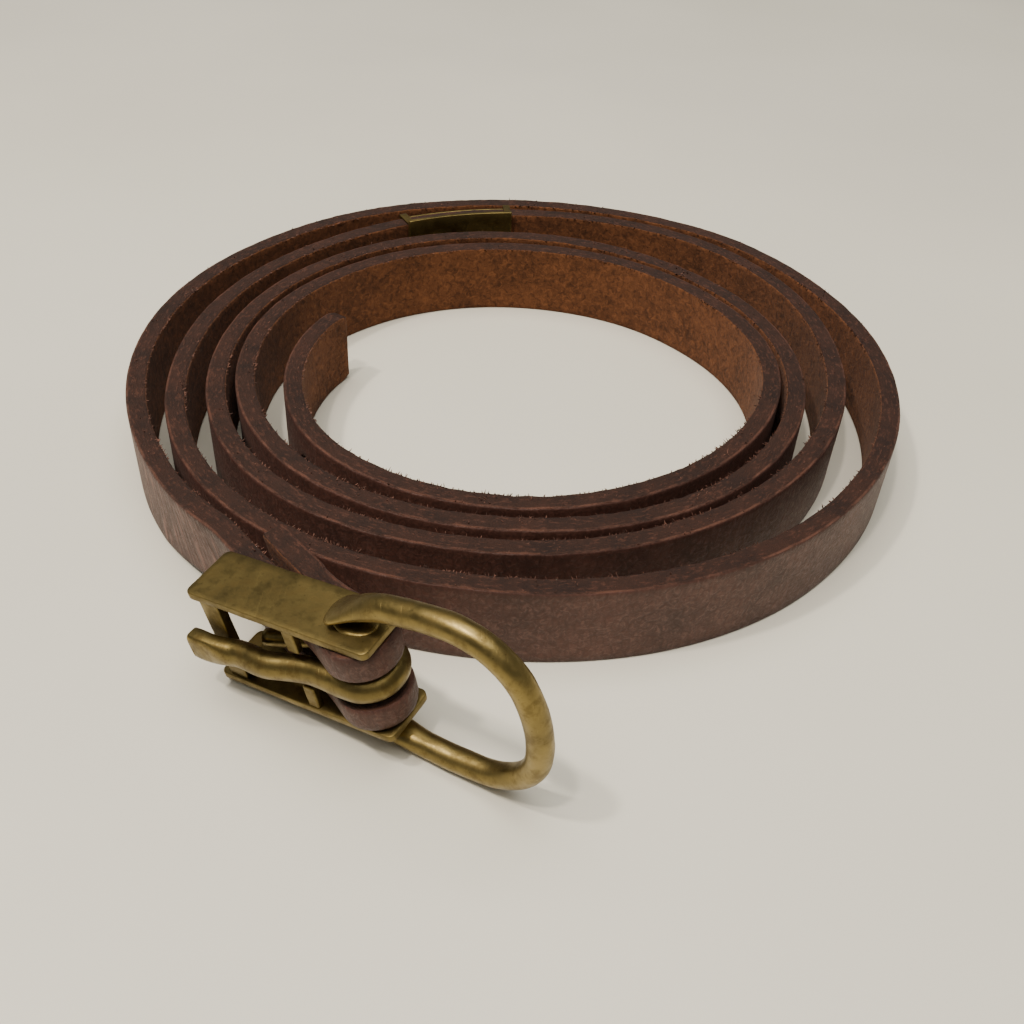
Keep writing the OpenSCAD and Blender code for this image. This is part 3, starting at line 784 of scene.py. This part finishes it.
def make_tongue():
    ring = PIN_R + 0.06 + ROD_R
    front = [(-0.25, -1.5), (1, -1.52), (2.5, -1.5), (4.2, -1.42), (5.8, -1.1), (7.4, -0.75), (9.4, -0.7),
             (11.4, -0.82), (13.2, -0.72), (15.4, -0.1), (17.6, 0.5), (20, 0.85), (22.6, 0.85),
             (25, PIN_V - ring)]
    turn = [(PIN_U + ring * math.cos(math.radians(a)), PIN_V + ring * math.sin(math.radians(a)))
            for a in range(-90, 91, 10)]
    back = [(24.6, PIN_V + ring - 0.05), (22, 8.0), (19.5, 7.1), (17, 6.2), (13, 4.7), (9.2, 3.4)]
    route = [Vector((x, y, 0)) for x, y in front + turn + back]
    path = []
    for i in range(len(route) - 1):
        a, b = route[max(i - 1, 0)], route[i]
        c, d = route[i + 1], route[min(i + 2, len(route) - 1)]
        for k in range(4):
            u = k / 4
            path.append(b + u * (c - a) / 2 + u * u * (a - 2.5 * b + 2 * c - d / 2)
                        + u ** 3 * (-a / 2 + 1.5 * b - 1.5 * c + d / 2))
    path.append(route[-1])
    lengths = [0.0]
    for a, b in zip(path, path[1:]):
        lengths.append(lengths[-1] + (b - a).length)
    total = lengths[-1]

    def shape(i):
        """Struck flat, tall and square where it rests on the end bar, and drawn thin behind the ring."""
        s = lengths[i]
        struck = max(0.0, 1 - max(0.0, s - 2.5) / 5.0)
        struck = struck * struck * (3 - 2 * struck)
        tail = min(1.0, max(0.0, (s - (total - 21)) / 7))
        high = 1.10 + 0.16 * struck - 0.38 * tail + 0.03 * noise.noise(Vector((s * 0.3, 1, 0)))
        wide = 1.0 - 0.34 * struck - 0.30 * tail + 0.03 * noise.noise(Vector((s * 0.3, 5, 0)))
        return high, wide, 0.85 * struck

    bm = rod_along(path, ROD_R, Vector((0, 0, 1)), shape)
    for f in bm.faces:
        if len(f.verts) > 8:
            bevel(bm, f.edges[:], 0.3, 3)
            break
    roughen(bm, 0.05, 0.4, 4.0)
    roughen(bm, 0.02, 1.7, 2.0)
    finish_piece(bm, "tongue_rod", ("tongue",), "tongue", ("tongue",),
                 place=BUCKLE @ Matrix.Translation((0, 0, MID_H)))


# ---- the keeper ----


def circle_through(a, b, c):
    p, q = b - a, c - a
    d = 2 * (p.x * q.y - p.y * q.x)
    return a + Vector((q.y * p.dot(p) - p.y * q.dot(q), p.x * q.dot(q) - q.x * p.dot(p))) / d


def make_keeper():
    a, b, c = (face_p(KEEPER_TURN + k) for k in (-0.036, 0, 0.036))
    centre = circle_through(a, b, c)
    face = (b - centre).length
    half = KEEPER_LEN / 2 / face
    heading = math.atan2(b.y - centre.y, b.x - centre.x)
    r_in, r_out = face - STRAP_T - KEEPER_GAP, face + KEEPER_GAP
    low, top = 0.3, STRAP_W + 0.3 + KEEPER_T
    tab = 1.7 / face
    whole = bmesh.new()
    # The outer sheet stands lower than the inner one, and the straps over the edge are filed thin.
    parts = ((r_in - KEEPER_T, r_in, -half, half, low, top),
             (r_out, r_out + 0.55, -half, half, low, STRAP_W - 0.3),
             (r_in - 0.5, r_out + 0.55, -half, tab - half, STRAP_W + 0.15, STRAP_W + 0.6),
             (r_out, r_out + 0.55, -half, tab - half, STRAP_W - 1.0, STRAP_W + 0.5),
             (r_in - 0.5, r_out + 0.55, half - tab, half, STRAP_W + 0.15, STRAP_W + 0.6),
             (r_out, r_out + 0.55, half - tab, half, STRAP_W - 1.0, STRAP_W + 0.5))
    for r0, r1, a0, a1, z0, z1 in parts:
        bm = block((r1 - r0, (a1 - a0) * face, z1 - z0), 0.0, 0.14, 18)
        for v in bm.verts:
            r = r0 + v.co.x
            turn = heading + a0 + v.co.y / face
            v.co = Vector((centre.x + SHIFT.x + r * math.cos(turn), centre.y + SHIFT.y + r * math.sin(turn),
                           z0 + v.co.z))
        mesh = bpy.data.meshes.new("keeper_part")
        bm.to_mesh(mesh)
        bm.free()
        whole.from_mesh(mesh)
        bpy.data.meshes.remove(mesh)
    roughen(whole, 0.05, 0.3, 3.0)
    finish_piece(whole, "keeper_sleeve", ("keeper",), "keeper", ("keeper",))


# ---- stage ----

# The eye's place from the coil's centre, in metres, and how far it looks down and rolls.
EYE = Vector((0.000767, -0.188435, 0.128451))
LOOK_DOWN, ROLL = math.radians(39.657), math.radians(3.537)


def soft_light(name, place, target, size, watts, colour):
    data = bpy.data.lights.new(name, "AREA")
    data.shape = "RECTANGLE"
    data.size, data.size_y = size
    data.energy = watts
    data.color = linear(colour)[:3]
    obj = bpy.data.objects.new(name, data)
    obj.location = place
    obj.rotation_euler = (Vector(target) - Vector(place)).to_track_quat("-Z", "Y").to_euler()
    bpy.context.scene.collection.objects.link(obj)
    return obj


def make_stage():
    settings = bpy.context.scene.belt_stage
    bm = bmesh.new()
    bmesh.ops.create_grid(bm, x_segments=4, y_segments=4, size=2.5)
    mesh = bpy.data.meshes.new("table_top")
    bm.to_mesh(mesh)
    bm.free()
    mesh.materials.append(material("table"))
    floor = bpy.data.objects.new("table_top", mesh)
    bpy.context.scene.collection.objects.link(floor)

    cam = bpy.data.cameras.new("camera")
    cam.lens = settings.lens
    cam.sensor_width = 36.0
    cam.clip_start = 0.01
    eye = bpy.data.objects.new("camera", cam)
    eye.location = (SHIFT.x * MM + EYE.x, SHIFT.y * MM + EYE.y, EYE.z)
    eye.rotation_euler = (Matrix.Rotation(math.pi / 2 - LOOK_DOWN, 3, "X")
                          @ Matrix.Rotation(ROLL, 3, "Z")).to_euler()
    bpy.context.scene.collection.objects.link(eye)
    bpy.context.scene.camera = eye

    world = bpy.data.worlds.new("room")
    world.use_nodes = True
    world.node_tree.nodes["Background"].inputs["Color"].default_value = linear("#E9E6E0")
    world.node_tree.nodes["Background"].inputs["Strength"].default_value = settings.room
    bpy.context.scene.world = world
    soft_light("key", (-0.45, -0.175, 0.95), (0, -0.08, 0), (0.06, 0.06), settings.key, "#FFF4E6")
    soft_light("second", (-0.24, -0.36, 1.0), (0, -0.08, 0), (0.06, 0.06), settings.key * 0.9, "#FFF1E4")
    soft_light("ceiling", (-0.1, -0.15, 1.2), (-0.1, -0.15, 0), (1.3, 1.3), settings.ceiling, "#FFF9F0")


# ---- the add-on ----


class BeltLeather(bpy.types.PropertyGroup):
    """What a user would change about the strap."""

    grain: bpy.props.FloatVectorProperty(name="Grain side", description="Mean colour of the waxed outer face",
                                         subtype="COLOR", size=3, default=linear("#503127")[:3])
    flesh: bpy.props.FloatVectorProperty(name="Flesh side", description="Mean colour of the raw inner face",
                                         subtype="COLOR", size=3, default=linear("#5E3A23")[:3])
    edge: bpy.props.FloatVectorProperty(name="Cut edge", description="Mean colour of the knife-cut edges",
                                        subtype="COLOR", size=3, default=linear("#2F190F")[:3])
    fibres: bpy.props.IntProperty(name="Loose fibres", description="Fibres tried along the upper cut edge",
                                  default=9000, min=0, max=20000)
    wander: bpy.props.FloatProperty(name="Wander",
                                    description="How far the hand-cut width wanders, in metres",
                                    default=0.00022, min=0.0, max=0.001, unit="LENGTH", subtype="DISTANCE")


class BeltBrass(bpy.types.PropertyGroup):
    """What a user would change about the brass."""

    colour: bpy.props.FloatVectorProperty(name="Brass", description="Colour of the clean metal",
                                          subtype="COLOR", size=3, default=linear("#92804E")[:3])
    age: bpy.props.FloatProperty(name="Age", description="Strength of the brown patches",
                                 default=1.0, min=0.0, max=1.2, subtype="FACTOR")


class BeltStage(bpy.types.PropertyGroup):
    """What a user would change about how the belt is shown."""

    lens: bpy.props.FloatProperty(name="Lens", description="Focal length on a 36 mm sensor", default=38.67,
                                  min=10.0, max=200.0, unit="CAMERA")
    key: bpy.props.FloatProperty(name="Key light", description="Power of the main soft light, in watts",
                                 default=4.4, min=0.0, max=100.0, unit="POWER")
    ceiling: bpy.props.FloatProperty(name="Ceiling light",
                                     description="Power of the broad light overhead, in watts",
                                     default=18.0, min=0.0, max=200.0, unit="POWER")
    room: bpy.props.FloatProperty(name="Room light", description="Strength of the light from all round",
                                  default=0.22, min=0.0, max=5.0)


class BELT_OT_strap(bpy.types.Operator):
    """Builds the leather strap and its loose edge fibres"""

    bl_idname = "belt.strap"
    bl_label = "Leather strap"

    def execute(self, context):
        make_strap()
        make_fibres()
        return {"FINISHED"}


class BELT_OT_buckle(bpy.types.Operator):
    """Builds the side plates, the bars, the pin and the bow"""

    bl_idname = "belt.buckle"
    bl_label = "Buckle frame"

    def execute(self, context):
        make_plates()
        make_bars()
        make_bow()
        return {"FINISHED"}


class BELT_OT_tongue(bpy.types.Operator):
    """Builds the tongue that turns on the pin"""

    bl_idname = "belt.tongue"
    bl_label = "Tongue"

    def execute(self, context):
        make_tongue()
        return {"FINISHED"}


class BELT_OT_keeper(bpy.types.Operator):
    """Builds the sheet keeper that slides on the strap"""

    bl_idname = "belt.keeper"
    bl_label = "Keeper"

    def execute(self, context):
        make_keeper()
        return {"FINISHED"}


class BELT_OT_stage(bpy.types.Operator):
    """Builds the table top, the lights and the camera"""

    bl_idname = "belt.stage"
    bl_label = "Stage"

    def execute(self, context):
        make_stage()
        return {"FINISHED"}


OPERATORS = (BELT_OT_stage, BELT_OT_strap, BELT_OT_buckle, BELT_OT_tongue, BELT_OT_keeper)


class BELT_PT_panel(bpy.types.Panel):
    """Lists the belt's settings and its pieces"""

    bl_idname = "BELT_PT_panel"
    bl_label = "Belt"
    bl_space_type = "VIEW_3D"
    bl_region_type = "UI"
    bl_category = "Belt"

    def draw(self, context):
        for group in (context.scene.belt_leather, context.scene.belt_brass, context.scene.belt_stage):
            for name in group.bl_rna.properties.keys()[2:]:
                self.layout.prop(group, name)
        for op in OPERATORS:
            self.layout.operator(op.bl_idname)


CLASSES = (BeltLeather, BeltBrass, BeltStage, *OPERATORS, BELT_PT_panel)


def register():
    for c in CLASSES:
        bpy.utils.register_class(c)
    bpy.types.Scene.belt_leather = bpy.props.PointerProperty(type=BeltLeather)
    bpy.types.Scene.belt_brass = bpy.props.PointerProperty(type=BeltBrass)
    bpy.types.Scene.belt_stage = bpy.props.PointerProperty(type=BeltStage)


def unregister():
    del bpy.types.Scene.belt_stage, bpy.types.Scene.belt_brass, bpy.types.Scene.belt_leather
    for c in reversed(CLASSES):
        bpy.utils.unregister_class(c)


def main():
    register()
    for op in OPERATORS:
        group, name = op.bl_idname.split(".")
        result = getattr(getattr(bpy.ops, group), name)()
        if "FINISHED" not in result:
            raise RuntimeError(f"{op.bl_label} wasn't built")


if __name__ == "__main__":
    main()
